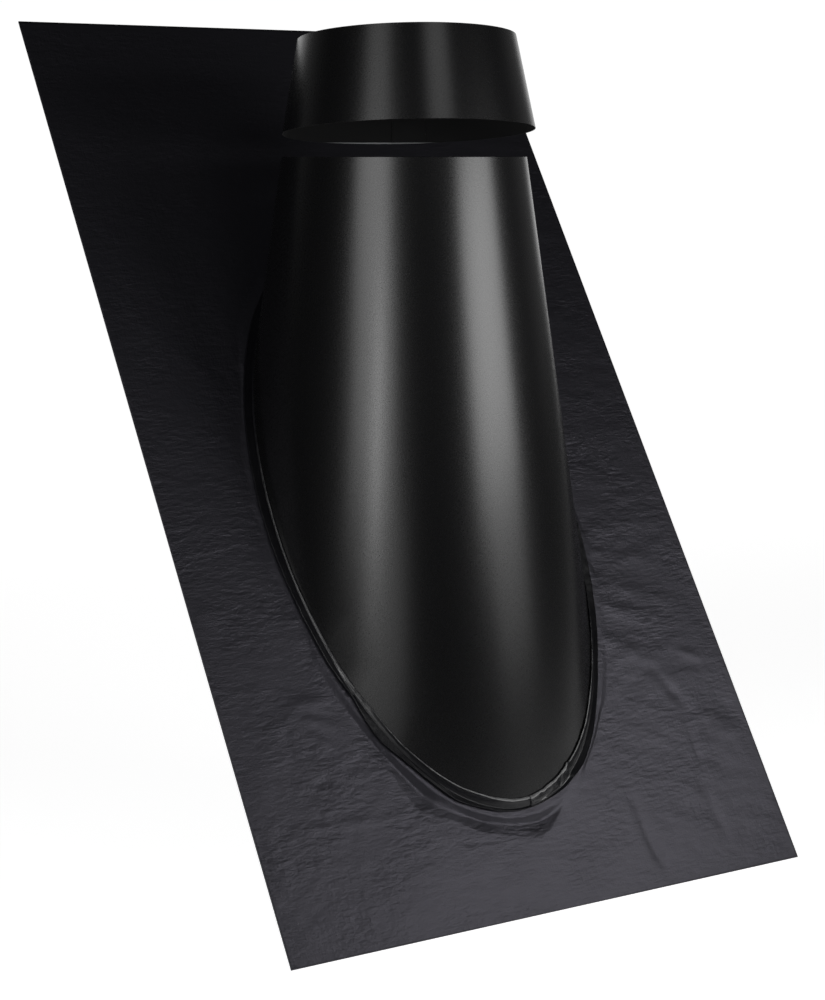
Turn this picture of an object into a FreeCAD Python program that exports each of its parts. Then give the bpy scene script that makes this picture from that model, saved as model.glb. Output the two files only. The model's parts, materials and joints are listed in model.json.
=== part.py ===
"""Roof flashing for a round flue: a sheet apron, a tall slant-footed cone, lapped foot strips and a storm collar.

The frame is the installed one. +Z runs up the flue's axis, +Y up the roof and +X across it, and the
origin is the point where the axis crosses the roof plane, which is the apron's underside.
All lengths are millimetres and all angles degrees.
"""
import FreeCAD
import Part
import Sketcher
import os
from FreeCAD import Rotation, Vector

doc = FreeCAD.newDocument("pipe_flashing")

# Driving dimensions
sizes = {
    "roof_pitch": 56.0,            # slope of the roof and of the apron
    "apron_width": 550.0,          # across the roof
    "apron_length": 950.0,         # along the slope
    "apron_gauge": 1.5,            # formable sheet
    "apron_shift_across": 9.0,     # apron's middle from the flue's axis, across the roof
    "apron_shift_up": 25.0,        # apron's middle from the flue's axis, up the slope
    "hole_clearance": 1.0,         # apron's hole beyond the cone's foot
    "flue_radius": 100.0,          # outside of the flue that the cone and collar are made for
    "rim_clearance": 13.7,         # air gap between the flue and the cone's rim
    "rim_height": 286.0,           # cone's rim above the roof plane, on the axis
    "cone_taper": 8.25,            # half angle of the cone
    "cone_gauge": 0.8,             # coated steel sheet
    "cone_seam": 24.0,             # lap of the cone's long seam, at the rim
    "flange_width": 8.0,           # turned-out foot of the cone
    "strip_width": 10.5,           # foot strip, from the cone's foot outwards
    "strip_gauge": 0.8,            # soft strip dressed over the flange
    "strip_lip": 1.5,              # strip's turned-up edge against the cone
    "strip_gap": 0.3,              # between the strip and the cone's wall
    "lap_gap": 0.2,                # between two lapped strips
    "front_strip_start": -48.0,    # left end of the front strip, from straight down the slope
    "front_strip_end": 13.0,       # right end of the front strip
    "left_lap_end": -40.0,         # side strip's left end, on top of the front strip
    "front_lap_end": 0.0,          # side strip's other end, at the foot's lowest point
    "lap_step": 1.5,               # side strip's doubled stretch past each lap
    "strip_end_gap": 0.2,          # between strip ends that butt
    "collar_grip_gap": 0.1,        # between the flue and the collar's lapped seam
    "collar_height": 86.0,
    "collar_taper": 10.7,          # half angle of the collar
    "collar_gauge": 0.8,
    "collar_lap": 34.0,            # lap of the collar's seam, at its lower edge
    "collar_lift": 23.0,           # collar's lower edge above the rim, at its middle
    "collar_side": 4.5,            # collar's middle off the flue's axis
    "collar_turn": -32.0,          # heading that the collar's seam is turned to
    "collar_tip": -5.1,            # loose collar tipped, front edge up
    "collar_lean": -1.4,           # loose collar leaning sideways
}

# Values worked out from them. The cone's foot is an ellipse in the plane of the apron's top face.
fits = {
    "rim_radius": "Sizes.flue_radius + Sizes.rim_clearance + Sizes.cone_gauge",
    "axis_radius": "rim_radius + Sizes.rim_height * tan(Sizes.cone_taper)",
    "deep_radius": "axis_radius + Sizes.apron_length * tan(Sizes.cone_taper)",
    "foot_up": "(axis_radius + Sizes.apron_gauge * (sin(Sizes.roof_pitch)"
               " - cos(Sizes.roof_pitch) * tan(Sizes.cone_taper)))"
               " / (cos(Sizes.roof_pitch) + sin(Sizes.roof_pitch) * tan(Sizes.cone_taper))",
    "foot_down": "(axis_radius - Sizes.apron_gauge * (sin(Sizes.roof_pitch)"
                 " + cos(Sizes.roof_pitch) * tan(Sizes.cone_taper)))"
                 " / (cos(Sizes.roof_pitch) - sin(Sizes.roof_pitch) * tan(Sizes.cone_taper))",
    "foot_major": "(foot_up + foot_down) / 2",
    "foot_middle": "(foot_up - foot_down) / 2",
    "middle_y": "foot_middle * cos(Sizes.roof_pitch) - Sizes.apron_gauge * sin(Sizes.roof_pitch)",
    "middle_z": "foot_middle * sin(Sizes.roof_pitch) + Sizes.apron_gauge * cos(Sizes.roof_pitch)",
    "foot_minor": "sqrt((axis_radius - middle_z * tan(Sizes.cone_taper)) ^ 2 - middle_y ^ 2)",
    "wall_inset": "Sizes.cone_gauge / cos(Sizes.cone_taper)",
    "seam_angle": "Sizes.cone_seam / rim_radius * 180 / pi",
    "flange_top": "Sizes.apron_gauge + Sizes.cone_gauge",
    "strip_inner": "Sizes.strip_gap / cos(Sizes.cone_taper)",
    "lip_outer": "(Sizes.strip_gap + Sizes.strip_gauge) / cos(Sizes.cone_taper)",
    "lap_inner": "(Sizes.strip_gap + Sizes.strip_gauge + Sizes.lap_gap) / cos(Sizes.cone_taper)",
    "lap_lip_outer": "(Sizes.strip_gap + 2 * Sizes.strip_gauge + Sizes.lap_gap) / cos(Sizes.cone_taper)",
    "lap_width": "Sizes.strip_width + Sizes.lap_gap + Sizes.strip_gauge",
    "collar_inset": "Sizes.collar_gauge / cos(Sizes.collar_taper)",
    "collar_top_radius": "Sizes.flue_radius + Sizes.collar_grip_gap + 2 * collar_inset",
    "collar_bottom_radius": "collar_top_radius + Sizes.collar_height * tan(Sizes.collar_taper)",
    "collar_seam_angle": "Sizes.collar_lap / collar_bottom_radius * 180 / pi",
}


def write_sheet(name, cells, prefix):
    sheet = doc.addObject("Spreadsheet::Sheet", name)
    for row, (alias, content) in enumerate(cells.items(), start=1):
        sheet.set(f"A{row}", alias)
        sheet.set(f"B{row}", f"{prefix}{content}")
        sheet.setAlias(f"B{row}", alias)
    doc.recompute()
    return sheet


def bind(owner, **formulas):
    """Tie properties to formulas. A double underscore stands for the dot of a nested property."""
    for path, formula in formulas.items():
        owner.setExpression(path.replace("__", "."), formula)


def solve(owner, formula):
    return float(owner.evalExpression(formula))


# Sketches and bodies
def new_body(label):
    body = doc.addObject("PartDesign::Body", label)
    body.Label = label
    return body


def new_sketch(body, name, role):
    plane = next(item for item in body.Origin.OriginFeatures if item.Role == role)
    sketch = body.newObject("Sketcher::SketchObject", name)
    sketch.AttachmentSupport = [(plane, "")]
    sketch.MapMode = "FlatFace"
    doc.recompute()
    return sketch


def tilt_to_roof(sketch, level):
    """Turn a sketch from level ground to the roof's slope, at a level above the roof plane."""
    sketch.AttachmentOffset = FreeCAD.Placement(Vector(), Rotation(Vector(1, 0, 0), 1))
    bind(sketch,
         AttachmentOffset__Rotation__Angle="Sizes.roof_pitch * 1 deg",
         AttachmentOffset__Base__y=f"-({level}) * sin(Sizes.roof_pitch)",
         AttachmentOffset__Base__z=f"({level}) * cos(Sizes.roof_pitch)")


def draw_outline(sketch, corners):
    """Closed outline of straight lines, each corner tied to its two formulas."""
    points = [Vector(solve(sketch, across), solve(sketch, up), 0) for across, up in corners]
    count = len(points)
    for index, point in enumerate(points):
        sketch.addGeometry(Part.LineSegment(point, points[(index + 1) % count]), False)
    for index in range(count):
        sketch.addConstraint(Sketcher.Constraint("Coincident", index, 2, (index + 1) % count, 1))
    for index, corner in enumerate(corners):
        for kind, axis, formula in (("DistanceX", -2, corner[0]), ("DistanceY", -1, corner[1])):
            if formula == "0":
                sketch.addConstraint(Sketcher.Constraint("PointOnObject", index, 1, axis))
                continue
            number = sketch.addConstraint(
                Sketcher.Constraint(kind, -1, 1, index, 1, solve(sketch, formula)))
            sketch.setExpression(f"Constraints[{number}]", formula)


def draw_foot_ellipse(sketch, growth):
    """Ellipse of the cone's foot, grown outwards. Its long axis runs up the slope."""
    middle, major, minor = (solve(sketch, f"Fits.foot_{part}") for part in ("middle", "major", "minor"))
    centre = Vector(0, middle, 0)
    top = centre + Vector(0, major, 0)
    side = centre - Vector(minor, 0, 0)
    sketch.addGeometry(Part.Ellipse(top, side, centre), False)
    sketch.exposeInternalGeometry(0)
    sketch.addConstraint(Sketcher.Constraint("PointOnObject", 0, 3, -2))
    sketch.addConstraint(Sketcher.Constraint("Vertical", 1))
    bound = (("DistanceY", (-1, 1, 0, 3), middle, "Fits.foot_middle"),
             ("Distance", (1,), 2 * major, f"2 * (Fits.foot_major + {growth})"),
             ("Distance", (2,), 2 * minor, f"2 * (Fits.foot_minor + {growth})"))
    for kind, where, value, formula in bound:
        number = sketch.addConstraint(Sketcher.Constraint(kind, *where, value))
        sketch.setExpression(f"Constraints[{number}]", formula)


def add_feature(body, kind, name, sketch, **settings):
    feature = body.newObject(f"PartDesign::{kind}", name)
    feature.Profile = sketch
    for key, value in settings.items():
        setattr(feature, key, value)
    sketch.Visibility = False
    return feature


def turn(body, kind, name, sketch):
    feature = add_feature(body, kind, name, sketch, ReferenceAxis=(sketch, ["V_Axis"]))
    feature.Angle = 360
    return feature


# Apron: a flat sheet, built level and laid on the roof by its placement
def make_apron():
    body = new_body("apron_sheet")
    blank = new_sketch(body, "apron_blank", "XY_Plane")
    edges = [f"Sizes.apron_shift_across {sign} Sizes.apron_width / 2" for sign in "-+"]
    ends = [f"Sizes.apron_shift_up {sign} Sizes.apron_length / 2" for sign in "-+"]
    draw_outline(blank, [(edges[0], ends[0]), (edges[1], ends[0]), (edges[1], ends[1]), (edges[0], ends[1])])
    bind(add_feature(body, "Pad", "apron_pad", blank), Length="Sizes.apron_gauge")
    hole = new_sketch(body, "apron_hole", "XY_Plane")
    draw_foot_ellipse(hole, "Sizes.hole_clearance")
    add_feature(body, "Pocket", "apron_opening", hole, Type="ThroughAll", Reversed=True)
    lay_on_roof(body)
    return body


def lay_on_roof(item):
    item.Placement = FreeCAD.Placement(Vector(), Rotation(Vector(1, 0, 0), 1))
    bind(item, Placement__Rotation__Angle="Sizes.roof_pitch * 1 deg")


# Cone: rolled sheet with a slanted foot, a turned-out flange and one lapped seam up its short side
def make_cone():
    body = new_body("flashing_cone")
    rim, deep = "Sizes.rim_height", "-Sizes.apron_length"
    outside = new_sketch(body, "cone_outside", "YZ_Plane")
    draw_outline(outside, [("0", deep), ("Fits.deep_radius", deep), ("Fits.rim_radius", rim), ("0", rim)])
    turn(body, "Revolution", "cone_blank", outside)

    below = new_sketch(body, "below_foot", "XY_Plane")
    tilt_to_roof(below, "Sizes.apron_gauge")
    reach = "2 * Sizes.apron_length"
    draw_outline(below, [(f"-{reach}", f"-{reach}"), (reach, f"-{reach}"), (reach, reach), (f"-{reach}", reach)])
    add_feature(body, "Pocket", "slanted_foot", below, Type="ThroughAll")

    flange = new_sketch(body, "flange_edge", "XY_Plane")
    tilt_to_roof(flange, "Sizes.apron_gauge")
    draw_foot_ellipse(flange, "Sizes.flange_width")
    bind(add_feature(body, "Pad", "foot_flange", flange), Length="Sizes.cone_gauge")

    for name, layers in (("seam_layer", 2), ("wall_layer", 1)):
        inside = new_sketch(body, f"cone_{name}", "YZ_Plane")
        inset = f"{layers} * Fits.wall_inset"
        draw_outline(inside, [("0", deep), (f"-(Fits.deep_radius - {inset})", deep),
                              (f"-(Fits.rim_radius - {inset})", rim), ("0", rim)])
        groove = turn(body, "Groove", f"hollow_{name}", inside)
    groove.Midplane = True
    bind(groove, Angle="360 - Fits.seam_angle")
    return body


# Storm collar: a rolled band with a lapped seam, loose above the rim
def make_collar():
    body = new_body("storm_collar")
    radii = ("Fits.collar_bottom_radius", "Fits.collar_top_radius")
    height = "Sizes.collar_height"
    outside = new_sketch(body, "collar_outside", "YZ_Plane")
    draw_outline(outside, [("0", "0"), (radii[0], "0"), (radii[1], height), ("0", height)])
    turn(body, "Revolution", "collar_blank", outside)
    for name, layers in (("seam_layer", 2), ("wall_layer", 1)):
        inside = new_sketch(body, f"collar_{name}", "YZ_Plane")
        inset = f"{layers} * Fits.collar_inset"
        draw_outline(inside, [("0", "0"), (f"-({radii[0]} - {inset})", "0"),
                              (f"-({radii[1]} - {inset})", height), ("0", height)])
        groove = turn(body, "Groove", f"collar_hollow_{name}", inside)
    groove.Midplane = True
    bind(groove, Angle="360 - Fits.collar_seam_angle")
    bind(body,
         Placement__Base__x="Sizes.collar_side * cos(Sizes.collar_turn)",
         Placement__Base__y="Sizes.collar_side * sin(Sizes.collar_turn)",
         Placement__Base__z="Sizes.rim_height + Sizes.collar_lift",
         Placement__Rotation__Yaw="Sizes.collar_turn",
         Placement__Rotation__Pitch="Sizes.collar_lean",
         Placement__Rotation__Roll="Sizes.collar_tip")
    return body


# Foot strips: channel-shaped strips over the flange, worked out level, on the roof plane
def foot_prism(name, growth, low, high):
    """Upright prism on the foot's ellipse, grown outwards, between two levels."""
    outline = doc.addObject("Part::Ellipse", f"{name}_outline")
    outline.Placement = FreeCAD.Placement(Vector(), Rotation(Vector(0, 0, 1), 90))
    bind(outline,
         MajorRadius=f"Fits.foot_major + {growth}",
         MinorRadius=f"Fits.foot_minor + {growth}",
         Placement__Base__y="Fits.foot_middle",
         Placement__Base__z=low)
    prism = doc.addObject("Part::Extrusion", name)
    prism.Base = outline
    prism.DirMode = "Custom"
    prism.Dir = Vector(0, 0, 1)
    prism.Solid = True
    bind(prism, LengthFwd=f"({high}) - ({low})")
    return prism


def leaning_cone(name, growth):
    """The cone's outside, grown by a horizontal distance, leaning as it does from the roof plane."""
    cone = doc.addObject("Part::Cone", name)
    cone.Placement = FreeCAD.Placement(Vector(), Rotation(Vector(1, 0, 0), -1))
    bind(cone,
         Radius1=f"Fits.deep_radius + {growth}",
         Radius2=f"Fits.rim_radius + {growth}",
         Height="Sizes.apron_length + Sizes.rim_height",
         Placement__Rotation__Angle="-Sizes.roof_pitch * 1 deg",
         Placement__Base__y="-Sizes.apron_length * sin(Sizes.roof_pitch)",
         Placement__Base__z="-Sizes.apron_length * cos(Sizes.roof_pitch)")
    return cone


def sector(name, start, end):
    """Pie slice about the foot's middle. Angles run from straight down the slope, towards +X."""
    slice_ = doc.addObject("Part::Cylinder", name)
    bind(slice_,
         Radius="Sizes.apron_length",
         Height="Sizes.apron_length",
         Angle=f"({end}) - ({start})",
         Placement__Rotation__Angle=f"({start} - 90) * 1 deg",
         Placement__Base__y="Fits.foot_middle",
         Placement__Base__z="-Sizes.apron_length / 2")
    return slice_


def combine(kind, name, *items):
    if kind == "Cut":
        result = doc.addObject("Part::Cut", name)
        result.Base, result.Tool = items
    else:
        result = doc.addObject(f"Part::Multi{kind}", name)
        result.Shapes = list(items)
    result.Refine = True
    return result


def strip_ring(name, level, growth, inner, lip):
    """Whole channel ring: a flat web, a skirt down to the apron and a lip up the cone's wall."""
    web_top = f"{level} + Sizes.strip_gauge"
    outer = foot_prism(f"{name}_outer", growth, "Sizes.apron_gauge", web_top)
    under = foot_prism(f"{name}_under", f"{growth} - Sizes.strip_gauge", "Sizes.apron_gauge", level)
    web = combine("Cut", f"{name}_web", outer, under)
    slab = foot_prism(f"{name}_slab", growth, level, f"{web_top} + Sizes.strip_lip")
    upstand = combine("Common", f"{name}_upstand", slab, leaning_cone(f"{name}_lip_cone", lip))
    channel = combine("Fuse", f"{name}_channel", web, upstand)
    return combine("Cut", name, channel, leaning_cone(f"{name}_wall_cone", inner))


def make_strips():
    ring = strip_ring("flat_ring", "Fits.flange_top", "Sizes.strip_width",
                      "Fits.strip_inner", "Fits.lip_outer")
    raised = strip_ring("raised_ring", "Fits.flange_top + Sizes.strip_gauge", "Fits.lap_width",
                        "Fits.lap_inner", "Fits.lap_lip_outer")
    span = sector("front_span", "Sizes.front_strip_start", "Sizes.front_strip_end")
    gap = "Sizes.strip_end_gap"
    spared = sector("spared_span", f"Sizes.front_strip_start - {gap}", f"Sizes.front_strip_end + {gap}")
    left = sector("left_lap_span", "Sizes.front_strip_start - Sizes.lap_step", "Sizes.left_lap_end")
    tip = sector("front_lap_span", "Sizes.front_lap_end", "Sizes.front_strip_end + Sizes.lap_step")

    front = combine("Common", "foot_strip_front", ring, span)
    run = combine("Cut", "side_run", ring, spared)
    laps = [combine("Common", f"{item.Name}_piece", raised, item) for item in (left, tip)]
    side = combine("Fuse", "foot_strip_side", run, *laps)
    for strip in (front, side):
        lay_on_roof(strip)
    return [front, side]


def check_and_write(nodes):
    doc.recompute()
    for item in doc.Objects:
        faults = {"Invalid", "Error"} & set(item.State)
        if faults:
            raise RuntimeError(f"{item.Name} did not build: {item.State}")
    os.makedirs("parts", exist_ok=True)
    for node in nodes:
        shape = node.Shape
        if shape.isNull() or not shape.isValid():
            raise RuntimeError(f"{node.Label} has no valid shape")
        shape.exportStep(f"parts/{node.Label}.step")
        print(f"{node.Label}: {len(shape.Solids)} solid, {shape.Volume / 1000:.1f} cm3")


write_sheet("Sizes", sizes, "")
write_sheet("Fits", fits, "=")
check_and_write([make_apron(), make_cone(), make_collar(), *make_strips()])
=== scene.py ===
import json
import math

import bmesh
import bpy
import numpy as np
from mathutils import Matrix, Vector


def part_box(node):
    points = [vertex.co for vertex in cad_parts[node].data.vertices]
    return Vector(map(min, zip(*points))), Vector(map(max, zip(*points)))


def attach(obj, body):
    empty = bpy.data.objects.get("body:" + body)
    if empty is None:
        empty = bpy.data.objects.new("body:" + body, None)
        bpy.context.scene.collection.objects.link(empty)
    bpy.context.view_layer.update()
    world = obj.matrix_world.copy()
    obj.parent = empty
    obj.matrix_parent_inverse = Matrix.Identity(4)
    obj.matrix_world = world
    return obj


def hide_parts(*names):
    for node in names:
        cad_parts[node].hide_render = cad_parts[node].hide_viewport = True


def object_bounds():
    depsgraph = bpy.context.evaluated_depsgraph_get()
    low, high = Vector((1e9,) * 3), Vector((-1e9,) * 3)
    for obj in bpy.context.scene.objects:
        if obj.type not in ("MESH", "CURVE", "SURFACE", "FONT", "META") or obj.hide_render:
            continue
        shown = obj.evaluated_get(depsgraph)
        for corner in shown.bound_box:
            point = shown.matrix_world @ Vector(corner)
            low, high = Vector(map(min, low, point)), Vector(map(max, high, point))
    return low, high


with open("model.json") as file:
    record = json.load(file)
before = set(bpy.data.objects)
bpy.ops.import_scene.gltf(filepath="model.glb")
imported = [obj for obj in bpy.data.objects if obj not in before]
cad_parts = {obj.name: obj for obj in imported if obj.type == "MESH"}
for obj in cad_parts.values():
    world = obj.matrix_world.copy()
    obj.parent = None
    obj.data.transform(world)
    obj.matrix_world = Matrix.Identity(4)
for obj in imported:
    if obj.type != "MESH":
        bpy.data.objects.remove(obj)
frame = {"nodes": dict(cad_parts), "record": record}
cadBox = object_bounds()  # the CAD model's box
print("frame loaded:", sorted(frame["nodes"]))

mm = 0.001

# The roof plane comes from the record, as three directions: out of the sheet's top, across the
# roof and up its slope.
mounts = {m["name"]: m for m in frame["record"]["mounts"]}
roofNormal = -np.array(mounts["roof_face"]["axis"], float)
roofNormal /= np.linalg.norm(roofNormal)
acrossRoof = np.array([1.0, 0.0, 0.0])
upRoof = np.cross(roofNormal, acrossRoof)
pitch = math.atan2(upRoof[2], upRoof[1])
sheetTop = 1.5 * mm  # the sheet's gauge: its flat top lies this far above the roof plane


def onRoof(x, s, h):
    # a point x across, s up the slope and h above the roof plane, all in metres
    x, s, h = np.broadcast_arrays(x, s, h)
    return x[..., None] * acrossRoof + s[..., None] * upRoof + h[..., None] * roofNormal


cone = {
    "taper": 8.25,         # half angle, degrees
    "rimRadius": 114.5,    # outside, mm
}
taper = math.radians(cone["taper"])
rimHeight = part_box("flashing_cone")[1][2]
axisRadius = cone["rimRadius"] * mm + rimHeight * math.tan(taper)  # at the origin's height
apexHeight = axisRadius / math.tan(taper)


def footEllipse(height):
    # where the cone's outer wall crosses the plane that lies height above the roof plane:
    # its two points on the centre line give the middle and the long half axis, and the
    # cone's radius at the middle gives the short one
    slope = math.tan(taper)
    ends = []
    for side in (-1.0, 1.0):
        # on the centre line the wall is side * y = (apex - z) * slope
        perHeight = side * roofNormal[1] + slope * roofNormal[2]
        perMetreUp = side * upRoof[1] + slope * upRoof[2]
        ends.append((apexHeight * slope - height * perHeight) / perMetreUp)
    middle, longHalf = (ends[0] + ends[1]) / 2, (ends[1] - ends[0]) / 2
    p = middle * upRoof + height * roofNormal
    shortHalf = math.sqrt(max(((apexHeight - p[2]) * slope) ** 2 - p[1] ** 2, 0.0))
    return middle, longHalf, shortHalf


footMiddle, footLong, footShort = footEllipse(sheetTop)
print("foot ellipse, mm:", [round(v / mm, 1) for v in (footMiddle, footLong, footShort)])


def footPoint(polar):
    # foot's outline at a polar angle in radians from straight down the slope towards +X:
    # (x, s) and the outward unit normal (x, s)
    t = np.arctan2(footLong * np.sin(polar), footShort * np.cos(polar))
    x, s = footShort * np.sin(t), footMiddle - footLong * np.cos(t)
    nx, ns = footLong * np.sin(t), -footShort * np.cos(t)
    length = np.hypot(nx, ns)
    return x, s, nx / length, ns / length


def footDistance(x, s):
    # about how far outside the foot's outline a point is, in metres: the ellipse's own ring
    # number less 1, over how fast it grows per metre there
    fx, fs = x / footShort, (s - footMiddle) / footLong
    ring = np.hypot(fx, fs)
    growth = np.hypot(fx / footShort, fs / footLong) / np.maximum(ring, 1e-6)
    return (ring - 1.0) / growth


def smoothStep(a, b, v):
    # 0 on a's side of the two, 1 on b's side, and a cubic step between them
    t = np.clip((v - a) / (b - a), 0.0, 1.0)
    return t * t * (3 - 2 * t)


lattice = {
    "size": 256,     # cells, after which the random values repeat
    "shift": (40.3, 71.7),  # cells, so that the lattice has no line through the sheet's middle
}


def valueNoise(x, s, cell, seed):
    # smooth random field of about -1 to 1: random values on a square lattice, blended
    # between lattice points by a cubic step
    size = lattice["size"]
    table = np.random.default_rng(seed).uniform(-1, 1, (size, size))
    u, v = x / cell + lattice["shift"][0], s / cell + lattice["shift"][1]
    iu, iv = np.floor(u).astype(int), np.floor(v).astype(int)
    fu, fv = u - iu, v - iv
    fu, fv = fu * fu * (3 - 2 * fu), fv * fv * (3 - 2 * fv)

    def value(a, b):
        return table[a % size, b % size]

    low = value(iu, iv) * (1 - fu) + value(iu + 1, iv) * fu
    high = value(iu, iv + 1) * (1 - fu) + value(iu + 1, iv + 1) * fu
    return low * (1 - fv) + high * fv


def alongNoise(angle, cell, seed):
    # the same field read along one line, at an angle in degrees
    return valueNoise(angle, angle * 0.0, cell, seed)


def gridMesh(name, points, closeU, closeV):
    # a surface from a grid of points, rows along u and columns along v, closed on request
    nu, nv = points.shape[:2]
    iu = np.arange(nu if closeU else nu - 1)
    iv = np.arange(nv if closeV else nv - 1)
    nextU, nextV = ((iu + 1) % nu)[:, None] * nv, ((iv + 1) % nv)[None, :]
    thisU, thisV = iu[:, None] * nv, iv[None, :]
    quads = np.stack(
        [thisU + thisV, nextU + thisV, nextU + nextV, thisU + nextV], -1).reshape(-1, 4)
    mesh = bpy.data.meshes.new(name)
    mesh.vertices.add(nu * nv)
    mesh.vertices.foreach_set("co", points.reshape(-1).astype(np.float32))
    mesh.loops.add(quads.size)
    mesh.loops.foreach_set("vertex_index", quads.reshape(-1).astype(np.int32))
    mesh.polygons.add(len(quads))
    mesh.polygons.foreach_set("loop_start", np.arange(0, quads.size, 4, dtype=np.int32))
    mesh.update(calc_edges=True)
    mesh.polygons.foreach_set("use_smooth", np.ones(len(quads), bool))
    mesh.validate()
    obj = bpy.data.objects.new(name, mesh)
    bpy.context.scene.collection.objects.link(obj)
    return obj


def capEnds(obj, nu, nv):
    # closes the two ends of a tube-like grid whose columns run round the section
    mesh = obj.data
    bm = bmesh.new()
    bm.from_mesh(mesh)
    bm.verts.ensure_lookup_table()
    bm.faces.new([bm.verts[j] for j in range(nv)])
    bm.faces.new([bm.verts[(nu - 1) * nv + j] for j in reversed(range(nv))])
    bm.to_mesh(mesh)
    bm.free()
    return obj


def hexColour(text):
    # sRGB hex to linear
    rgb = [int(text[i:i + 2], 16) / 255 for i in (0, 2, 4)]
    return [c / 12.92 if c <= 0.04045 else ((c + 0.055) / 1.055) ** 2.4 for c in rgb] + [1.0]


def addNode(tree, kind, settings):
    # one node: settings holds its own properties and, for its inputs by name or number, either
    # a value or the socket to link there. A Mix node's inputs go by number: 0 is the share, 2
    # and 3 are its two numbers, and 6 and 7 its two colours.
    node = tree.nodes.new(kind)
    for key, value in settings.items():
        if isinstance(key, str) and key not in node.inputs:
            setattr(node, key, value)
        elif isinstance(value, bpy.types.NodeSocket):
            tree.links.new(value, node.inputs[key])
        else:
            node.inputs[key].default_value = value
    return node.outputs


def newMaterial(name, settings):
    # a material whose shader has these plain values; the rest is linked to it afterwards
    material = bpy.data.materials.new(name)
    material.use_nodes = True
    tree = material.node_tree
    shader = tree.nodes["Principled BSDF"]
    for key, value in settings.items():
        shader.inputs[key].default_value = value
    return material, tree, shader


# Polyester powder coat on steel, sprayed and baked: satin black, with a fine pebbled texture
# that breaks up the long highlights a little.
powderCoat = {
    "colour": "0d0d0e",
    "ior": 1.5,
    "roughness": 0.27,
    "pebble": 1.1,        # mm, one pebble of the coat; drawn coarser than real so that it shows
    "pebbleDepth": 0.014,  # mm
    "orangePeel": 7.0,    # mm, the broader waves that baking leaves
    "peelDepth": 0.006,   # mm
    "speckle": 0.010,     # change of roughness from pebble to pebble
    "insideRoughness": 0.90,   # the gun reaches the inside less well
    "rimHighlightWidth": 1.1,       # mm above the collar's lower edge, on its inside, painted pale as a highlight line
    "rimHighlightFade": 1.4,       # times that width: there the painted highlight has faded out
    # painted highlight: the pale colour of that band, standing in for the bright line of light
    # along the rim
    "rimHighlightColour": "a6a8aa",
    "noise": (0.3, 0.7),  # the range that a noise node seldom leaves
    # metres from the flue's axis along a face's normal, below 0 where the face looks inwards
    "inwards": (0.0, -0.02),
}


def makePowderCoat(name, values, lowerEdgeHeight=None):
    # the last argument is the height in metres of the collar's lower edge; just above it, on the
    # inside, a pale band is painted as a highlight line
    colour, roughness = hexColour(values["colour"]), values["roughness"]
    material, tree, shader = newMaterial(name, {
        "Base Color": colour, "Roughness": roughness, "IOR": values["ior"]})
    coords = addNode(tree, "ShaderNodeTexCoord", {})
    pebble = addNode(tree, "ShaderNodeTexNoise", {
        "Vector": coords["Object"], "Scale": 1 / (values["pebble"] * mm), "Detail": 2.0})
    peel = addNode(tree, "ShaderNodeTexNoise", {
        "Vector": coords["Object"], "Scale": 1 / (values["orangePeel"] * mm), "Detail": 1.0})
    fine = addNode(tree, "ShaderNodeBump", {
        "Height": pebble["Fac"], "Strength": 1.0, "Distance": values["pebbleDepth"] * mm})
    broad = addNode(tree, "ShaderNodeBump", {
        "Height": peel["Fac"], "Normal": fine["Normal"], "Strength": 1.0,
        "Distance": values["peelDepth"] * mm})
    tree.links.new(broad["Normal"], shader.inputs["Normal"])
    outside = addNode(tree, "ShaderNodeMapRange", {
        "Value": pebble["Fac"], "From Min": values["noise"][0],
        "From Max": values["noise"][1],
        "To Min": roughness - values["speckle"], "To Max": roughness + values["speckle"]})
    geometry = addNode(tree, "ShaderNodeNewGeometry", {})
    facing = addNode(tree, "ShaderNodeVectorMath", {
        "operation": "DOT_PRODUCT", 0: geometry["True Normal"], 1: coords["Object"]})
    inside = addNode(tree, "ShaderNodeMapRange", {
        "Value": facing["Value"], "From Min": values["inwards"][0],
        "From Max": values["inwards"][1], "To Min": 0.0, "To Max": 1.0})
    rough = addNode(tree, "ShaderNodeMix", {
        "data_type": "FLOAT", 0: inside["Result"], 2: outside["Result"],
        3: values["insideRoughness"]})
    tree.links.new(rough[0], shader.inputs["Roughness"])
    if lowerEdgeHeight is not None:
        # painted highlight: the inside just above the lower edge is coloured pale, for the bright
        # line along the rim
        parts = addNode(tree, "ShaderNodeSeparateXYZ", {"Vector": coords["Object"]})
        rim = addNode(tree, "ShaderNodeMapRange", {
            "Value": parts["Z"], "From Min": lowerEdgeHeight + values["rimHighlightWidth"] * mm,
            "From Max": lowerEdgeHeight + values["rimHighlightWidth"] * values["rimHighlightFade"] * mm,
            "To Min": 1.0, "To Max": 0.0})
        highlightShare = addNode(tree, "ShaderNodeMath", {
            "operation": "MULTIPLY", 0: rim["Result"], 1: inside["Result"]})
        shown = addNode(tree, "ShaderNodeMix", {
            "data_type": "RGBA", 0: highlightShare["Value"], 6: colour, 7: hexColour(values["rimHighlightColour"])})
        tree.links.new(shown[2], shader.inputs["Base Color"])
    return material


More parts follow.
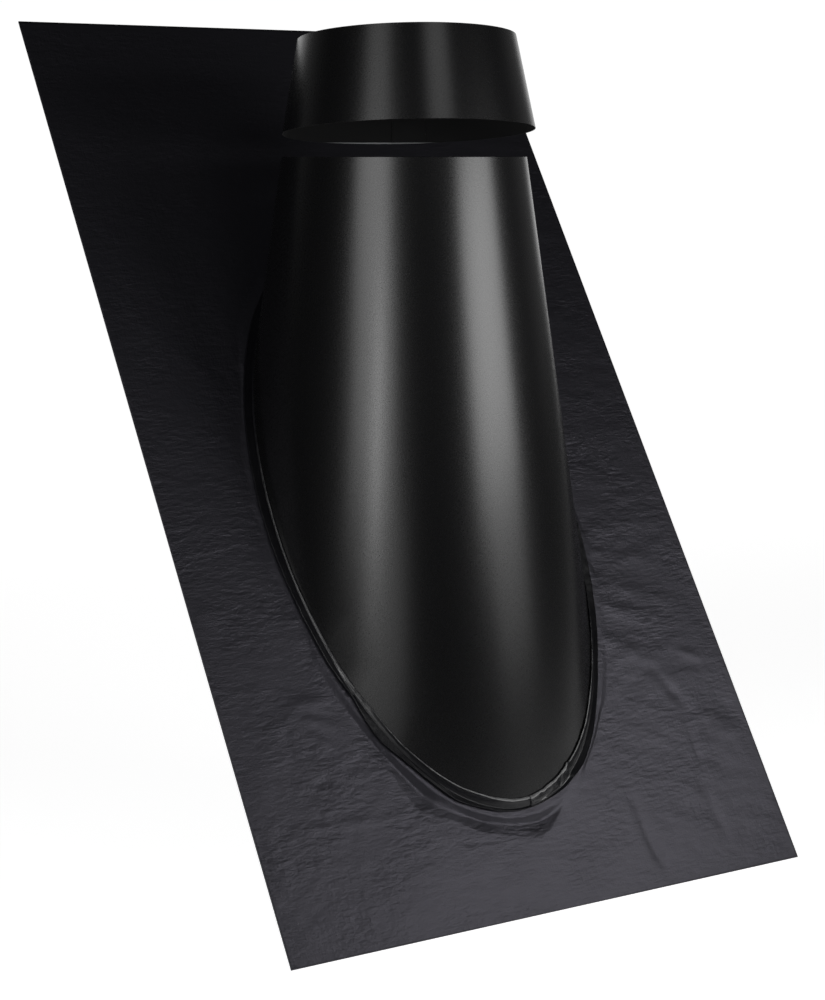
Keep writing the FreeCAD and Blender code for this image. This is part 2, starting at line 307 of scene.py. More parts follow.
# Painted, crimped soft aluminium sheet, rolled and dressed by hand: matt black with a dull
# sheen, fine crimp ribs along the slope and small random crinkles.
formedSheet = {
    "colour": "141417",
    "sheen": "f2eeff",    # the paint's faintly blue shine
    "ior": 1.5,
    "roughness": 0.45,
    "patch": 55.0,        # mm, patches where the texture is stronger or fainter
    "patchRange": (0.35, 0.65),   # of the patches' noise, from faintest to strongest
    "faintest": 0.35,     # share of the depth that is left where a patch is faintest
    # each layer: one cell in mm, its stretch across and up the slope, detail, depth in mm, and
    # whether it comes and goes with the patches
    "layers": [
        (1.7, (1.0, 1.0, 1.0), 2.0, 0.14, False),     # pebbled skin of the coating
        (4.2, (1.5, 0.20, 1.0), 2.0, 0.20, True),     # crimp ribs, up the slope
        (4.6, (0.50, 1.35, 1.0), 3.0, 0.62, True),    # small creases across the slope
        (13.0, (0.7, 1.2, 1.0), 2.0, 0.80, True),     # larger dents
    ],
}


def makeFormedSheet(name, values):
    # the layers' bumps one on the other, laid out on the roof plane
    material, tree, shader = newMaterial(name, {
        "Base Color": hexColour(values["colour"]), "Roughness": values["roughness"],
        "IOR": values["ior"], "Specular Tint": hexColour(values["sheen"])})
    coords = addNode(tree, "ShaderNodeTexCoord", {})
    turned = addNode(tree, "ShaderNodeMapping", {
        "Vector": coords["Object"], "Rotation": (-pitch, 0.0, 0.0)})
    patch = addNode(tree, "ShaderNodeTexNoise", {
        "Vector": turned["Vector"], "Scale": 1 / (values["patch"] * mm), "Detail": 1.0})
    share = addNode(tree, "ShaderNodeMapRange", {
        "Value": patch["Fac"], "From Min": values["patchRange"][0],
        "From Max": values["patchRange"][1], "To Min": values["faintest"], "To Max": 1.0})
    before = {}
    for cell, stretch, detail, depth, comesAndGoes in values["layers"]:
        mapped = addNode(tree, "ShaderNodeMapping", {
            "Vector": turned["Vector"], "Scale": stretch})
        noise = addNode(tree, "ShaderNodeTexNoise", {
            "Vector": mapped["Vector"], "Scale": 1 / (cell * mm), "Detail": detail,
            "Roughness": 0.5})
        bump = addNode(tree, "ShaderNodeBump", {
            "Height": noise["Fac"], "Distance": depth * mm,
            "Strength": share["Result"] if comesAndGoes else 1.0, **before})
        before = {"Normal": bump["Normal"]}
    tree.links.new(before["Normal"], shader.inputs["Normal"])
    return material


# Smooth painted soft aluminium strip, bent over a steel edge by hand: glossier than the sheet,
# with soft dents.
footStrip = {
    "colour": "101013",
    "ior": 1.5,
    "roughness": 0.27,
    "dent": 5.0,          # mm, marks of the hand tool
    "dentDepth": 0.16,    # mm
}


def makeFootStrip(name, values):
    material, tree, shader = newMaterial(name, {
        "Base Color": hexColour(values["colour"]), "Roughness": values["roughness"],
        "IOR": values["ior"]})
    coords = addNode(tree, "ShaderNodeTexCoord", {})
    dents = addNode(tree, "ShaderNodeTexNoise", {
        "Vector": coords["Object"], "Scale": 1 / (values["dent"] * mm), "Detail": 2.0})
    bump = addNode(tree, "ShaderNodeBump", {
        "Height": dents["Fac"], "Strength": 1.0, "Distance": values["dentDepth"] * mm})
    tree.links.new(bump["Normal"], shader.inputs["Normal"])
    return material


coatMaterial = makePowderCoat("satin_black_powder_coat_on_steel", powderCoat)
# the collar's coat carries a pale painted highlight along the inside of its lower rim
collarMaterial = makePowderCoat(
    "satin_black_powder_coat_with_painted_rim_highlight", powderCoat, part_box("storm_collar")[0][2])
sheetMaterial = makeFormedSheet("painted_crimped_aluminium_sheet", formedSheet)
stripMaterial = makeFootStrip("painted_soft_aluminium_strip", footStrip)

for node, material in (("flashing_cone", coatMaterial), ("storm_collar", collarMaterial)):
    obj = frame["nodes"][node]
    obj.data.materials.clear()
    obj.data.materials.append(material)
print("materials made")


apron = {
    "length": 950.0,     # mm, up the slope
    "steps": (190, 215, 75, 165),   # grid steps along the low, right, top and left edges
    "crowd": 1.35,       # more than 1 crowds the side edges' steps towards the low end
    "outwards": 112,     # steps from the hole to the sheet's edge, on top
    "under": 24,         # and on the underside
    "crowdInwards": 1.15,   # more than 1 crowds those steps towards the hole
    "holeClearance": 1.0,   # mm, from the foot's outline to the hole's edge
    "stiffEdge": 25.0,      # mm, within which the relief fades out towards the cut edges
}
(sheetLeft, _, lowEdge), (sheetRight, _, _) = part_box("apron_sheet")
sheetBottom = lowEdge / math.sin(pitch)
sheetTopEnd = sheetBottom + apron["length"] * mm

# Folds that dressing left in the sheet, in mm on the roof plane: two ends, half width, and height
# of the ridge; the sheet falls off down the slope more than up it where lean is above 0.
folds = [
    # x1, s1, x2, s2, width, height, lean
    (160, -168, 200, -186, 9, 0.9, 0.3),      # beside the cone, right
    (148, -205, 192, -226, 9, 1.0, 0.3),
    (150, -240, 172, -232, 10, 0.5, 0.0),
    (168, -150, 205, -158, 10, 0.5, 0.2),
    (172, -120, 225, -128, 9, 0.4, 0.2),
    (190, -94, 240, -88, 11, 0.4, 0.0),
    (228, -226, 252, -238, 5, 0.7, 0.0),      # short bright nick
    (200, -250, 219, -286, 6, -0.6, 0.2),
    (213, -298, 212, -352, 5, -0.4, 0.0),
    (206, -372, 209, -408, 6, -0.55, 0.0),
    (122, -358, 125, -404, 6, -0.6, 0.0),
    (124, -400, 130, -432, 6, -1.0, 0.0),
    (-216, -337, -124, -341, 4, 0.28, 0.0),   # low left, nearly level
    (-209, -250, -207, -278, 3, -0.22, 0.0),
    (-120, -330, -60, -392, 12, 0.35, 0.0),
    (-248, 189, -156, 74, 12, 0.35, 0.0),     # long faint one, upper left
    (-196, -228, -168, -226, 6, 0.75, 0.0),   # knocks left of the foot
    (-190, -240, -166, -248, 6, 0.7, 0.0),
    (-183, -258, -168, -268, 5, 0.5, 0.0),
    (-222, -246, -204, -240, 5, 0.45, 0.0),
]
foldShape = {
    "runOut": 1.6,        # half widths over which a fold runs out beyond its ends
    "ends": 0.55,         # share of its height that it has at its ends
    "middle": 0.45,       # and what its middle has more
}
dimples = [
    # x, s, half widths, turn, height
    (-187, -299, 9, 5, 0, -0.5),
    (-256, -132, 12, 8, 20, 0.6),
    (273, -290, 16, 12, 30, -0.9),
    (262, -318, 18, 12, 0, 0.5),
    (60, -410, 18, 10, 10, 0.35),
    (-30, -420, 22, 10, -15, 0.3),
    (164, -228, 9, 7, 0, 0.4),
]
hollow = {
    "depth": 4.6,         # mm, pressed down round the low end of the foot
    "deepest": 1.15,      # times that depth at most, under the strip
    "width": 27.0,        # mm, out from the foot at its lowest point
    "scallops": [(0.14, 17, 1.0), (0.09, 31, 0.0)],  # share of the width, waves per radian, phase
    # degrees from straight down the slope: it begins on the foot's left and ends on its right
    "begins": (-44.0, -22.0), "ends": (29.0, 17.0),
    "narrows": (20.0, -4.0),           # it is narrow at the first and has its width at the second
    "narrow": 0.42, "widened": 0.58,   # share of the width at the first, and what is added
    "dents": 0.55,        # mm, where fingers pressed it
    "dentSize": 13, "dentSeed": 17,    # mm
    "dentFade": 2.5,      # they fade out over the outermost 1 / 2.5 of its width
}
busyArea = {
    # mm up the slope and across, from where the sheet is calm to where it is full of creases
    "low": (60, -200), "right": (120, 180),
}
waves = [
    # height in mm, how much more it has on the right, stretch across and up the slope, one cell
    # in mm, seed, and the share of it that the calm part has
    (0.55, 0.0, 1.0, 1.0, 85, 3, 1.0),      # the whole sheet's slow waves
    (0.20, 0.0, 1.0, 1.0, 34, 5, 0.3),
    (0.08, 0.16, 0.5, 1.2, 11, 7, 0.2),     # creases across the slope
    (0.07, 0.0, 1.0, 1.0, 9, 11, 0.2),
]
overFlange = {
    "height": 0.98,       # mm above the flat sheet, where it is dressed over the cone's flange
    "wave": 0.16, "waveSize": 6, "waveSeed": 13,   # mm, how uneven it is there
    "from": 8.6, "to": 16.0,   # mm out from the foot, where it comes down again
    "spread": 7.0,             # mm, how much the second varies along the foot
    "spreadCell": 7, "spreadSeed": 37,   # degrees, from one change to the next
    "least": 3.0,              # mm, over which it comes down at the least
}


def bumpAt(x, s, at, size, turn):
    # a smooth bump of height 1 at a point in mm: e to the power of minus the squared distance,
    # counted in its two half widths in mm, which are turned by so many degrees
    cosTurn, sinTurn = math.cos(math.radians(turn)), math.sin(math.radians(turn))
    dx, ds = x - at[0] * mm, s - at[1] * mm
    a = (dx * cosTurn + ds * sinTurn) / (size[0] * mm)
    b = (-dx * sinTurn + ds * cosTurn) / (size[1] * mm)
    return np.exp(-(a ** 2 + b ** 2))


def foldRidge(x, s, x1, s1, x2, s2, width, height, lean):
    # a rounded ridge along a line: a bell across it, fading beyond both ends, highest in the
    # middle of its length, and tilted to one side by lean
    dx, ds = x2 - x1, s2 - s1
    length = math.hypot(dx, ds)
    along = ((x - x1) * dx + (s - s1) * ds) / length
    side = (-(x - x1) * ds + (s - s1) * dx) / length * (1.0 if dx >= 0 else -1.0)
    beyond = np.maximum(np.maximum(-along, along - length), 0.0)
    bell = np.exp(-(side / width) ** 2 - (beyond / (foldShape["runOut"] * width)) ** 2)
    arch = np.sin(np.pi * np.clip(along / length, 0, 1))
    level = foldShape["ends"] + foldShape["middle"] * arch
    return height * bell * level * (1 - lean * side / width)


def sheetRelief(x, s):
    # height in metres of the dressed sheet above its flat plane: the hollow at the foot's low
    # end, the folds and dimples, then broad waves and small crinkles from smooth noise, and
    # round the foot the ledge where it lies over the cone's flange
    polar = np.degrees(np.arctan2(x, footMiddle - s))
    away = footDistance(x, s) / mm
    xm, sm = x / mm, s / mm
    wobble = 1
    for share, count, phase in hollow["scallops"]:
        wobble = wobble + share * np.sin(np.radians(polar) * count + phase)
    widening = hollow["narrow"] + hollow["widened"] * smoothStep(*hollow["narrows"], polar)
    reach = hollow["width"] * wobble * widening
    inHollow = smoothStep(*hollow["begins"], polar) * smoothStep(*hollow["ends"], polar)
    inward = np.maximum(1 - away / np.maximum(reach, 1.0), 0.0)
    h = -hollow["depth"] * inHollow * np.minimum(inward, hollow["deepest"])
    dented = hollow["dents"] * inHollow * np.minimum(hollow["dentFade"] * inward, 1.0)
    h = h + dented * valueNoise(xm, sm, hollow["dentSize"], hollow["dentSeed"])
    for row in folds:
        h = h + foldRidge(xm, sm, *row)
    for dx, ds, wide, tall, turn, height in dimples:
        h = h + height * bumpAt(x, s, (dx, ds), (wide, tall), turn)
    right = smoothStep(*busyArea["right"], xm)
    busy = np.maximum(smoothStep(*busyArea["low"], sm), right)
    for height, more, acrossScale, upScale, cell, seed, calm in waves:
        noise = valueNoise(xm * acrossScale, sm * upScale, cell, seed)
        h = h + (height + more * right) * noise * (calm + (1 - calm) * busy)
    spread = alongNoise(polar, overFlange["spreadCell"], overFlange["spreadSeed"])
    end = overFlange["to"] + overFlange["spread"] * spread
    end = np.maximum(end, overFlange["from"] + overFlange["least"])
    onFlange = smoothStep(end, overFlange["from"], away)
    wave = np.abs(valueNoise(xm, sm, overFlange["waveSize"], overFlange["waveSeed"]))
    h = h + onFlange * (overFlange["height"] + overFlange["wave"] * wave - h)
    return h * mm


def edgeFade(x, s):
    # 0 at the sheet's cut edges, so that they stay straight, and 1 well inside
    across = np.minimum(x - sheetLeft, sheetRight - x)
    d = np.minimum(across, np.minimum(s - sheetBottom, sheetTopEnd - s))
    return smoothStep(0.0, apron["stiffEdge"] * mm, d)


def makeApron():
    # rays from the hole's edge to the rectangle's edge, round the whole sheet, and a section
    # loop that goes out on top, round the cut edge and back underneath
    corners = np.array([[sheetLeft, sheetBottom], [sheetRight, sheetBottom],
                        [sheetRight, sheetTopEnd], [sheetLeft, sheetTopEnd]])
    crowd = apron["crowd"]
    outer = []
    for i, steps in enumerate(apron["steps"]):
        share = np.arange(steps) / steps
        if i == 1:
            share = share ** crowd
        elif i == 3:
            share = 1 - (1 - share) ** crowd
        outer.append(corners[i] + (corners[(i + 1) % 4] - corners[i]) * share[:, None])
    outer = np.concatenate(outer)
    fx, fs, nx, ns = footPoint(np.arctan2(outer[:, 0], footMiddle - outer[:, 1]))
    clear = apron["holeClearance"] * mm
    inner = np.stack([fx + nx * clear, fs + ns * clear], -1)
    sides = []
    for count in (apron["outwards"], apron["under"]):
        v = np.linspace(0, 1, count)[None, :, None] ** apron["crowdInwards"]
        flat = inner[:, None, :] * (1 - v) + outer[:, None, :] * v
        x, s = flat[..., 0], flat[..., 1]
        sides.append((x, s, sheetRelief(x, s) * edgeFade(x, s)))
    (x, s, lift), (ux, us, ulift) = sides
    topSide = onRoof(x, s, sheetTop + lift)
    underSide = onRoof(ux, us, ulift)[:, ::-1]
    loop = np.concatenate([topSide, underSide], 1)[:, ::-1]
    return gridMesh("apron_skin", loop, True, True)


apronSkin = makeApron()
apronSkin.data.materials.append(sheetMaterial)
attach(apronSkin, "root")
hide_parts("apron_sheet")
print("apron made:", len(apronSkin.data.polygons), "faces")


strip = {
    # All angles are degrees from straight down the slope, less than 0 on the left.
    # mm out from the foot to the strip's outer edge
    "width": [(-180, 10), (-90, 10), (-75, 8.5), (-60, 7), (-47, 6.5), (-38, 4.4), (-31, 9.2),
              (-28.5, 9.8), (-24.3, 6.2), (-21, 4.8), (-17.4, 5.3), (-12.8, 7.2), (-8.7, 4.8),
              (-3.5, 3.6), (1.8, 3.1), (6.2, 3.3), (10.2, 5.2), (12.5, 5.8), (16, 7.4),
              (20.3, 6.8), (25, 5.2), (29.5, 4.3), (36, 3.8), (41, 4.3), (50, 5.2), (70, 8),
              (110, 10), (180, 10)],
    # mm up the wall to the lip's edge
    "lip": [(-180, 4), (-90, 4), (-60, 5), (-40, 6), (-33, 9), (-25, 8), (-13, 9), (-8, 10),
            (-3, 9), (1.6, 8), (6, 9), (12, 10), (17, 9), (22, 8.5), (28, 11), (45, 12),
            (70, 8), (100, 4), (180, 4)],
    "lean": 0.9, "low": 1.3,   # mm, how far the lip's face is off the wall above and low down
    "rise": 29.0,              # how steeply the web rises from the wall to its outer edge
    "web": 0.3,                # mm, the height that it starts from
    "crest": 2.5,              # mm that its outer edge is higher, at most
    "frontStart": -48.0, "frontEnd": 12.8,   # the short strip across the front
    "frontLap": 1.9, "leftLap": -38.7,       # the long strip's two ends, which lie on it
    "frontBase": 0.85, "sideBase": 1.3,      # mm above the sheet, of the short and the long one
    "flareFrom": -51.0, "flareTo": -38.5,    # the lip is pressed open here, widest by the left lap
    "lapBegins": (0.9, 2.4), "lapEnds": (13.2, 11.8),   # the crumpled lap at the low end
    "lapSinks": 0.6,           # share of the crest that the hammered lap has lost
    "knot": 12.4, "knotWidth": 0.55,    # where the lap's end is bunched up
    "knotHeight": 1.6,                  # mm
    "turnedFrom": (-8, -3), "turnedTo": (3, 1),   # the lip's edge is turned out here
    "lapTurned": 0.9,          # and as much as this on the lap, where 1 is fully turned out
    "roll": 0.14, "rolledRoll": 0.45,   # mm, how round the outer edge is, and how much more
    "rolledFrom": (-70, -58), "rolledTo": (-31, -36),   # between these angles
    "pushed": 1.2, "lapPushed": 1.0,    # mm that the crease is pushed out, at the flare and lap
    "flareGap": 0.25, "flareSlant": 0.16,   # mm off the wall at the edge, and more per mm below it
    "stepsPerDegree": 5.0,     # on the low end, which ends here:
    "fineTo": 62, "coarseStep": 0.4,    # from there on, one step in degrees
    "rounding": 2,             # how often the section's corners are cut
}
uneven = {
    # how each measure varies along the strip: by how much in mm or as a share, one cell in
    # degrees, and a seed
    "width": [(0.25, 6, 24), (0.12, 1.5, 25)],
    "lip": [(0.4, 5, 21), (0.2, 1.4, 22)],
    "lapLip": [(0.5, 0.9, 31)],
    "lapTurned": [(0.8, 0.8, 34)],
    "lean": [(0.12, 3, 26)],
    "crest": [(0.15, 4, 27)],
    "crumple": [(0.5, 1.1, 32), (0.25, 0.45, 33)],
    "seat": [(0.08, 2, 28)],
}


def varied(start, angle, rows):
    # a value with its unevenness added: amount times smooth noise, for each row
    for amount, cell, seed in rows:
        start = start + amount * alongNoise(angle, cell, seed)
    return start


def roundLoop(points, times):
    # corner cutting on closed loops of points, one loop in each row: each edge keeps its middle
    # half
    for _ in range(times):
        after = np.roll(points, -1, 1)
        points = np.stack([0.75 * points + 0.25 * after, 0.25 * points + 0.75 * after], 2)
        points = points.reshape(len(points), -1, 3)
    return points


def makeStrip(name, start, end, base, onTop):
    # the strip's section carried round the foot from one polar angle to the other: a lip that
    # lies on the wall, and a web that rises outwards to a crest and drops to the sheet. Each
    # point of the section is so far up the wall, off it, out from it and up from the sheet.
    fine = np.arange(start, min(end, strip["fineTo"]), 1 / strip["stepsPerDegree"])
    rest = np.arange(fine[-1] + strip["coarseStep"], end, strip["coarseStep"])
    angle = np.append(np.concatenate([fine, rest]), end)
    signed = (angle + 180) % 360 - 180
    fx, fs, nx, ns = footPoint(np.radians(angle))

    # shares from 0 to 1 of what only the upper strip has, at its two ends
    flare = smoothStep(strip["flareFrom"], strip["leftLap"], signed)
    flare = flare * (signed < strip["flareTo"]) * onTop
    lap = smoothStep(*strip["lapBegins"], signed) * smoothStep(*strip["lapEnds"], signed) * onTop
    knot = np.exp(-((signed - strip["knot"]) / strip["knotWidth"]) ** 2) * onTop

    width = varied(np.interp(signed, *zip(*strip["width"])), angle, uneven["width"])
    lip = varied(np.interp(signed, *zip(*strip["lip"])), angle, uneven["lip"])
    lip = lip + strip["knotHeight"] * knot + lap * varied(0.0, angle, uneven["lapLip"])
    turned = smoothStep(*strip["turnedFrom"], signed) * smoothStep(*strip["turnedTo"], signed)
    turned = turned + lap * varied(strip["lapTurned"], angle, uneven["lapTurned"])
    lean = varied(strip["lean"], angle, uneven["lean"])
    low, web = strip["low"], strip["web"]
    rise = math.tan(math.radians(strip["rise"]))
    crest = np.minimum(rise * width, strip["crest"]) * varied(1, angle, uneven["crest"])
    crest = web + crest * (1 - strip["lapSinks"] * lap)
    pushed = strip["pushed"] * flare + strip["lapPushed"] * lap
    rolled = smoothStep(*strip["rolledFrom"], signed)
    roll = strip["roll"] + strip["rolledRoll"] * rolled * smoothStep(*strip["rolledTo"], signed)
    crumple = lap * varied(0.0, angle, uneven["crumple"])
    zero = angle * 0.0

    def offAt(drop, plain):
        # the lip's outer face so far below its edge: plain, or flat and slanting out where it is
        # pressed open
        return plain * (1 - flare) + (strip["flareGap"] + strip["flareSlant"] * drop) * flare

    # in mm up the wall, off it, out and up, and then 1 where it follows the dressed sheet
    section = [
        # the lip's edge and its face, down to the crease
        (lip - 0.2, zero + 0.02, zero, zero, 0),
        (lip, 0.1 * lean, zero, zero, 0),
        (lip - 0.15, offAt(0.15, 0.25 * lean), zero, zero, 0),
        (lip - 1.25 - 0.9 * turned, offAt(1.25, 0.9 * lean + 0.45 * turned), zero, zero, 0),
        (lip - 1.9 - 1.1 * turned, offAt(1.9, lean + 0.5 * turned), zero, zero, 0),
        (0.45 * lip, offAt(0.55 * lip, 0.6 * (lean + low)),
         0.2 * lap, 0.1 * lap + 0.6 * crumple, 0),
        (zero + 0.9, offAt(lip - 0.9, low), 0.7 * lap, 0.5 * lap + 0.7 * crumple, 0),
        (zero + 0.3, offAt(lip - 0.3, low), 0.3 * flare + 0.9 * lap,
         0.3 * lap - 0.4 * crumple, 0),
        # the web, out to its crest
        (zero, zero, 0.4 + pushed, 0.5 + 0.6 * lap, 0),
        (zero, zero, np.maximum(0.55 * width, 1.2 + pushed), web + 0.55 * (crest - web), 0),
        (zero, zero, np.maximum(width - 0.4 - roll, 1.9 + pushed), web + 0.88 * (crest - web), 0),
        (zero, zero, np.maximum(width - 0.1, 2.2 + pushed), crest, 0),
        # the rolled outer edge, down into the sheet
        (zero, zero, np.maximum(width, 2.3 + pushed), crest - 0.15 - roll, 0),
        (zero, zero, np.maximum(width + 0.02, 2.32 + pushed), crest - 0.7 - roll, 0),
        (zero, zero, width + 0.1, zero - 1.3, 1),
        # and back to the wall inside the sheet
        (zero, zero, width - 0.8, zero - 1.3, 1),
        (zero, zero, 0.5 * width, zero - 1.2, 1),
        (zero, zero, zero + 1.0, zero - 1.1, 1),
        (zero, zero + 0.02, zero, zero - 0.2, 0),
    ]
    columns = [np.stack([row[i] for row in section], 1) * mm for i in range(4)]
    upWall, offWall, out, up = columns
    sheet = sheetRelief(fx[:, None] + nx[:, None] * out, fs[:, None] + ns[:, None] * out)
    seat = varied(base, angle, uneven["seat"]) * mm
    up = up + seat[:, None] + np.array([row[4] for row in section]) * sheet

    # the directions at each angle: up the wall to the apex, off it, and out along the roof
    foot = onRoof(fx, fs, sheetTop)
    wall = np.array([0.0, 0.0, apexHeight]) - foot
    wall = wall / np.linalg.norm(wall, axis=1)[:, None]
    level = np.stack([foot[:, 0], foot[:, 1], np.zeros(len(foot))], 1)
    radial = level / np.linalg.norm(level, axis=1)[:, None]
    wallNormal = radial * math.cos(taper) + np.array([0.0, 0.0, math.sin(taper)])
    outward = nx[:, None] * acrossRoof + ns[:, None] * upRoof
    points = (foot[:, None, :] + upWall[..., None] * wall[:, None, :]
              + offWall[..., None] * wallNormal[:, None, :]
              + out[..., None] * outward[:, None, :] + up[..., None] * roofNormal)
    points = roundLoop(points, strip["rounding"])
    obj = gridMesh(name, points[:, ::-1], False, True)
    return capEnds(obj, *points.shape[:2])


sideStrip = makeStrip("foot_strip_side_skin", strip["frontLap"], 360 + strip["leftLap"],
                      strip["sideBase"], True)
frontStrip = makeStrip("foot_strip_front_skin", strip["frontStart"], strip["frontEnd"],
                       strip["frontBase"], False)
for piece, node in ((sideStrip, "foot_strip_side"), (frontStrip, "foot_strip_front")):
    piece.data.materials.append(stripMaterial)
    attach(piece, "root")
    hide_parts(node)
print("strips made")


camera = {
    "azimuth": -32.045, "elevation": 9.071,      # degrees
    "distance": 2.0908,                          # metres, to the point that it is turned to
    "aim": (0.0010, -0.0121, -0.0606),           # that point, from the middle of the object's box
    "lens": 78.41, "sensor": 36.0,               # mm
    "clip": (0.05, 100.0),                       # metres
}
boxMiddle = (cadBox[0] + cadBox[1]) / 2
floorHeight = cadBox[0][2]
heading = math.radians(-camera["azimuth"])  # the camera looks this far from +Y towards +X

# White all round for the eye. In mirrors the white stands behind the object only: a bright pool
# of floor round it that widens backwards, and a backdrop with a paler wall on each side.
room = {
    "floorColour": "c8c8c8",
    "floorRoughness": 0.9,
    "floorSize": 60.0,      # metres
    "poolFront": 0.50,      # metres of bright floor in front of the object
    "poolSide": 0.85,       # half the bright floor's width beside it
    "poolSpread": 0.24,     # and its widening per metre behind
    "poolEdge": 0.9,        # metres over which it fades at the sides
    "poolFrontEdge": 0.5,   # and in front
    "glow": 0.90,           # brightness that the floor adds of its own, near the object
    "farGlow": 1.0,         # and by the backdrop, where no lamp reaches
    "nearBy": 0.2, "farAway": 2.2,   # metres behind the object
    "backdropTurn": 6.0,    # degrees that the backdrop's middle lies to the left of straight behind
    "backdropSide": 24.0,   # half the white backdrop's width, degrees
    "backdropFade": 16.0,   # degrees to where its white has faded
    "wallSide": 50.0,       # half the width of the pale wall beside it
    "wallFade": 35.0,
    "wallBrightness": 0.12,
    "backdropTop": 14.0,    # upper edge, degrees above the horizon
    "topFade": 22.0,
    "dim": 0.02,            # brightness of the dark studio all round
}
plainWhite = (1, 1, 1, 1)


def seenBy(tree, mirrored):
    # 1 for camera rays, and the given amount for mirror and glass rays, so that the black metal
    # shows the white only where it stands behind and beside the object
    path = addNode(tree, "ShaderNodeLightPath", {})
    other = addNode(tree, "ShaderNodeMath", {
        "operation": "MAXIMUM", 0: path["Is Glossy Ray"], 1: path["Is Transmission Ray"]})
    shown = addNode(tree, "ShaderNodeMath", {
        "operation": "MULTIPLY", 0: other["Value"], 1: mirrored})
    return addNode(tree, "ShaderNodeMath", {
        "operation": "MAXIMUM", 0: path["Is Camera Ray"], 1: shown["Value"]})["Value"]


def makeFloor():
    # a flat square floor; what it adds of its own is its brightness, which goes from glow to
    # farGlow with the distance behind the object, times the pool's share for mirrors
    r = room["floorSize"] / 2
    x, y = np.meshgrid(np.linspace(-r, r, 3), np.linspace(-r, r, 3), indexing="ij")
    points = np.stack([x, y, np.full_like(x, floorHeight)], -1)
    obj = gridMesh("studio_floor", points, False, False)
    material, tree, shader = newMaterial("painted_studio_floor", {
        "Base Color": hexColour(room["floorColour"]), "Roughness": room["floorRoughness"],
        "Specular IOR Level": 0.0})
    coords = addNode(tree, "ShaderNodeTexCoord", {})
    turned = addNode(tree, "ShaderNodeMapping", {
        "Vector": coords["Object"], "Rotation": (0.0, 0.0, heading)})
    parts = addNode(tree, "ShaderNodeSeparateXYZ", {"Vector": turned["Vector"]})
    beside = addNode(tree, "ShaderNodeMath", {"operation": "ABSOLUTE", 0: parts["X"]})
    behind = addNode(tree, "ShaderNodeMath", {
        "operation": "MAXIMUM", 0: parts["Y"], 1: 0.0})
    beyond = addNode(tree, "ShaderNodeMath", {
        "operation": "MULTIPLY_ADD", 0: behind["Value"], 1: -room["poolSpread"],
        2: beside["Value"]})
    fades = []
    for value, start, width, first, last in (
            (beyond["Value"], room["poolSide"], room["poolEdge"], 1.0, 0.0),
            (parts["Y"], -room["poolFront"], -room["poolFrontEdge"], 1.0, 0.0),
            (parts["Y"], room["nearBy"], room["farAway"] - room["nearBy"],
             room["glow"], room["farGlow"])):
        fades.append(addNode(tree, "ShaderNodeMapRange", {
            "interpolation_type": "SMOOTHSTEP", "Value": value, "From Min": start,
            "From Max": start + width, "To Min": first, "To Max": last})["Result"])
    pool = addNode(tree, "ShaderNodeMath", {"operation": "MULTIPLY", 0: fades[0], 1: fades[1]})
    glow = addNode(tree, "ShaderNodeMath", {
        "operation": "MULTIPLY", 0: fades[2], 1: seenBy(tree, pool["Value"])})
    shader.inputs["Emission Color"].default_value = plainWhite
    tree.links.new(glow["Value"], shader.inputs["Emission Strength"])
    obj.data.materials.append(material)


def makeWorld():
    # white for the eye; in mirrors a dark studio with a white backdrop behind the object and a
    # paler wall on both sides of it
    world = bpy.data.worlds.new("studio")
    bpy.context.scene.world = world
    world.use_nodes = True
    tree = world.node_tree
    coords = addNode(tree, "ShaderNodeTexCoord", {})
    turned = addNode(tree, "ShaderNodeMapping", {
        "Vector": coords["Generated"],
        "Rotation": (0.0, 0.0, heading - math.radians(room["backdropTurn"]))})
    parts = addNode(tree, "ShaderNodeSeparateXYZ", {"Vector": turned["Vector"]})
    turn = addNode(tree, "ShaderNodeMath", {"operation": "ARCTAN2", 0: parts["X"], 1: parts["Y"]})
    bearing = addNode(tree, "ShaderNodeMath", {"operation": "ABSOLUTE", 0: turn["Value"]})
    rise = addNode(tree, "ShaderNodeMath", {"operation": "ARCSINE", 0: parts["Z"]})
    fades = []
    for value, start, width, level in (
            (bearing, room["backdropSide"], room["backdropFade"], 1.0),
            (bearing, room["wallSide"], room["wallFade"], room["wallBrightness"]),
            (rise, room["backdropTop"], room["topFade"], 1.0)):
        fades.append(addNode(tree, "ShaderNodeMapRange", {
            "interpolation_type": "SMOOTHSTEP", "Value": value["Value"],
            "From Min": math.radians(start), "From Max": math.radians(start + width),
            "To Min": level, "To Max": 0.0})["Result"])
    pale = addNode(tree, "ShaderNodeMath", {"operation": "MAXIMUM", 0: fades[0], 1: fades[1]})
    cut = addNode(tree, "ShaderNodeMath", {
        "operation": "MULTIPLY", 0: pale["Value"], 1: fades[2]})
    strength = addNode(tree, "ShaderNodeMath", {
        "operation": "ADD", 0: seenBy(tree, cut["Value"]), 1: room["dim"]})
    background = tree.nodes["Background"]
    background.inputs["Color"].default_value = plainWhite
    tree.links.new(strength["Value"], background.inputs["Strength"])


lampAim = 0.1        # metres, height on the flue's axis that the lamps are turned to
lampSpread = 110.0   # degrees, full angle; a honeycomb grid keeps the light off the floor nearby

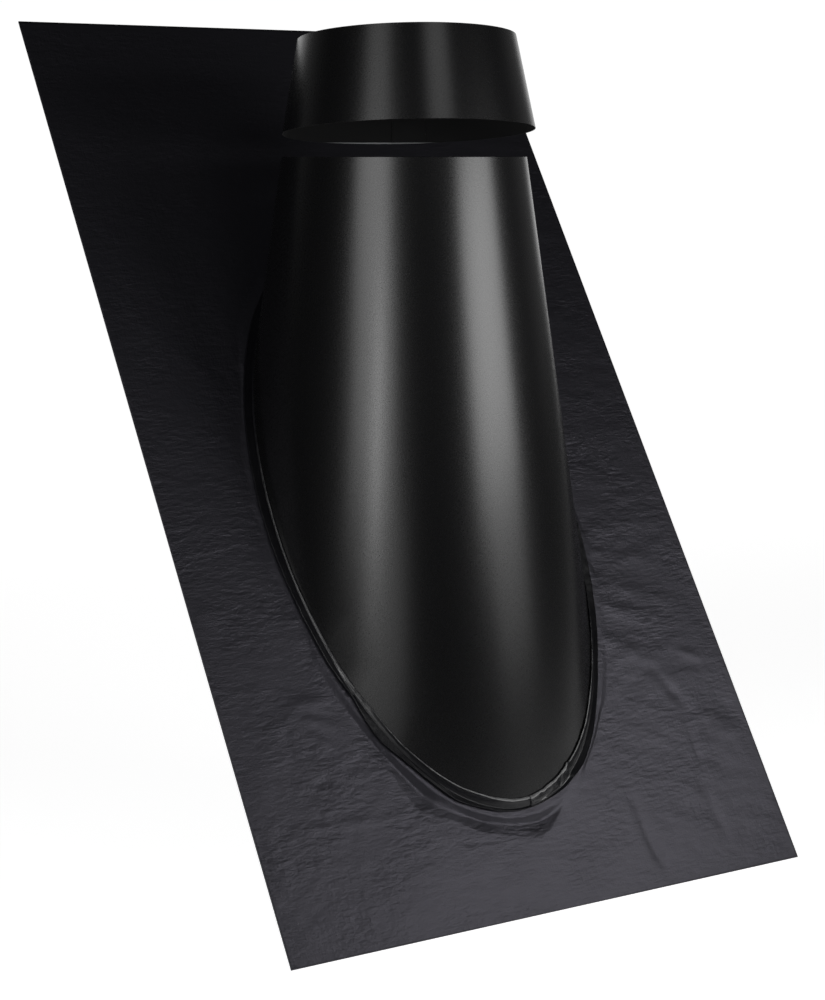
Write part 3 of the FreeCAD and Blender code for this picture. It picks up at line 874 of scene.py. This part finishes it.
lamps = {
    # bearing from -Y towards +X in degrees, then in metres its distance, its lower and upper
    # edge and its width, and its brightness
    "right_softbox": (33.5, 1.2, 0.10, 0.60, 0.76, 2.42),
    "right_low": (35.0, 1.2, -0.15, 0.10, 0.50, 0.48),
    "left_top": (-59.0, 1.5, 0.50, 0.92, 0.85, 1.45),
    "left_middle": (-53.5, 1.5, 0.15, 0.50, 0.80, 1.10),
    "left_core": (-50.0, 1.5, 0.10, 0.45, 0.12, 3.2),
    "left_low": (-44.0, 1.5, -0.20, 0.15, 0.70, 0.42),
    "left_upper_panel": (-63.0, 1.5, 1.0, 1.45, 0.62, 0.52),
    "front_upper_panel": (-1.0, 1.5, 1.02, 1.50, 0.60, 0.60),
    "left_rim_panel": (-168.0, 1.5, 0.35, 1.0, 0.5, 0.16),
}


def makeLamp(name, bearing, distance, low, high, width, brightness):
    # a soft area lamp at that bearing, turned to the flue's axis; its power is its brightness
    # times pi times its area
    b = math.radians(bearing)
    lamp = bpy.data.lights.new(name, "AREA")
    lamp.shape = "RECTANGLE"
    lamp.size, lamp.size_y = width, high - low
    lamp.energy = brightness * math.pi * width * (high - low)
    lamp.spread = math.radians(lampSpread)
    obj = bpy.data.objects.new(name, lamp)
    obj.location = (distance * math.sin(b), -distance * math.cos(b), (low + high) / 2)
    toAxis = Vector((0.0, 0.0, lampAim)) - obj.location
    obj.rotation_euler = toAxis.to_track_quat("-Z", "Y").to_euler()
    bpy.context.scene.collection.objects.link(obj)


def makeCamera():
    # so far back from the aim, along the direction that its two angles give
    data = bpy.data.cameras.new("studio_camera")
    data.sensor_width, data.lens = camera["sensor"], camera["lens"]
    data.clip_start, data.clip_end = camera["clip"]
    obj = bpy.data.objects.new("studio_camera", data)
    a, e = math.radians(camera["azimuth"]), math.radians(camera["elevation"])
    back = Vector((math.sin(a) * math.cos(e), -math.cos(a) * math.cos(e), math.sin(e)))
    obj.location = boxMiddle + Vector(camera["aim"]) + back * camera["distance"]
    obj.rotation_euler = (-back).to_track_quat("-Z", "Y").to_euler()
    bpy.context.scene.collection.objects.link(obj)
    bpy.context.scene.camera = obj


makeFloor()
makeWorld()
for name, values in lamps.items():
    makeLamp(name, *values)
makeCamera()
bpy.context.scene.view_settings.view_transform = "Standard"
print("studio made")
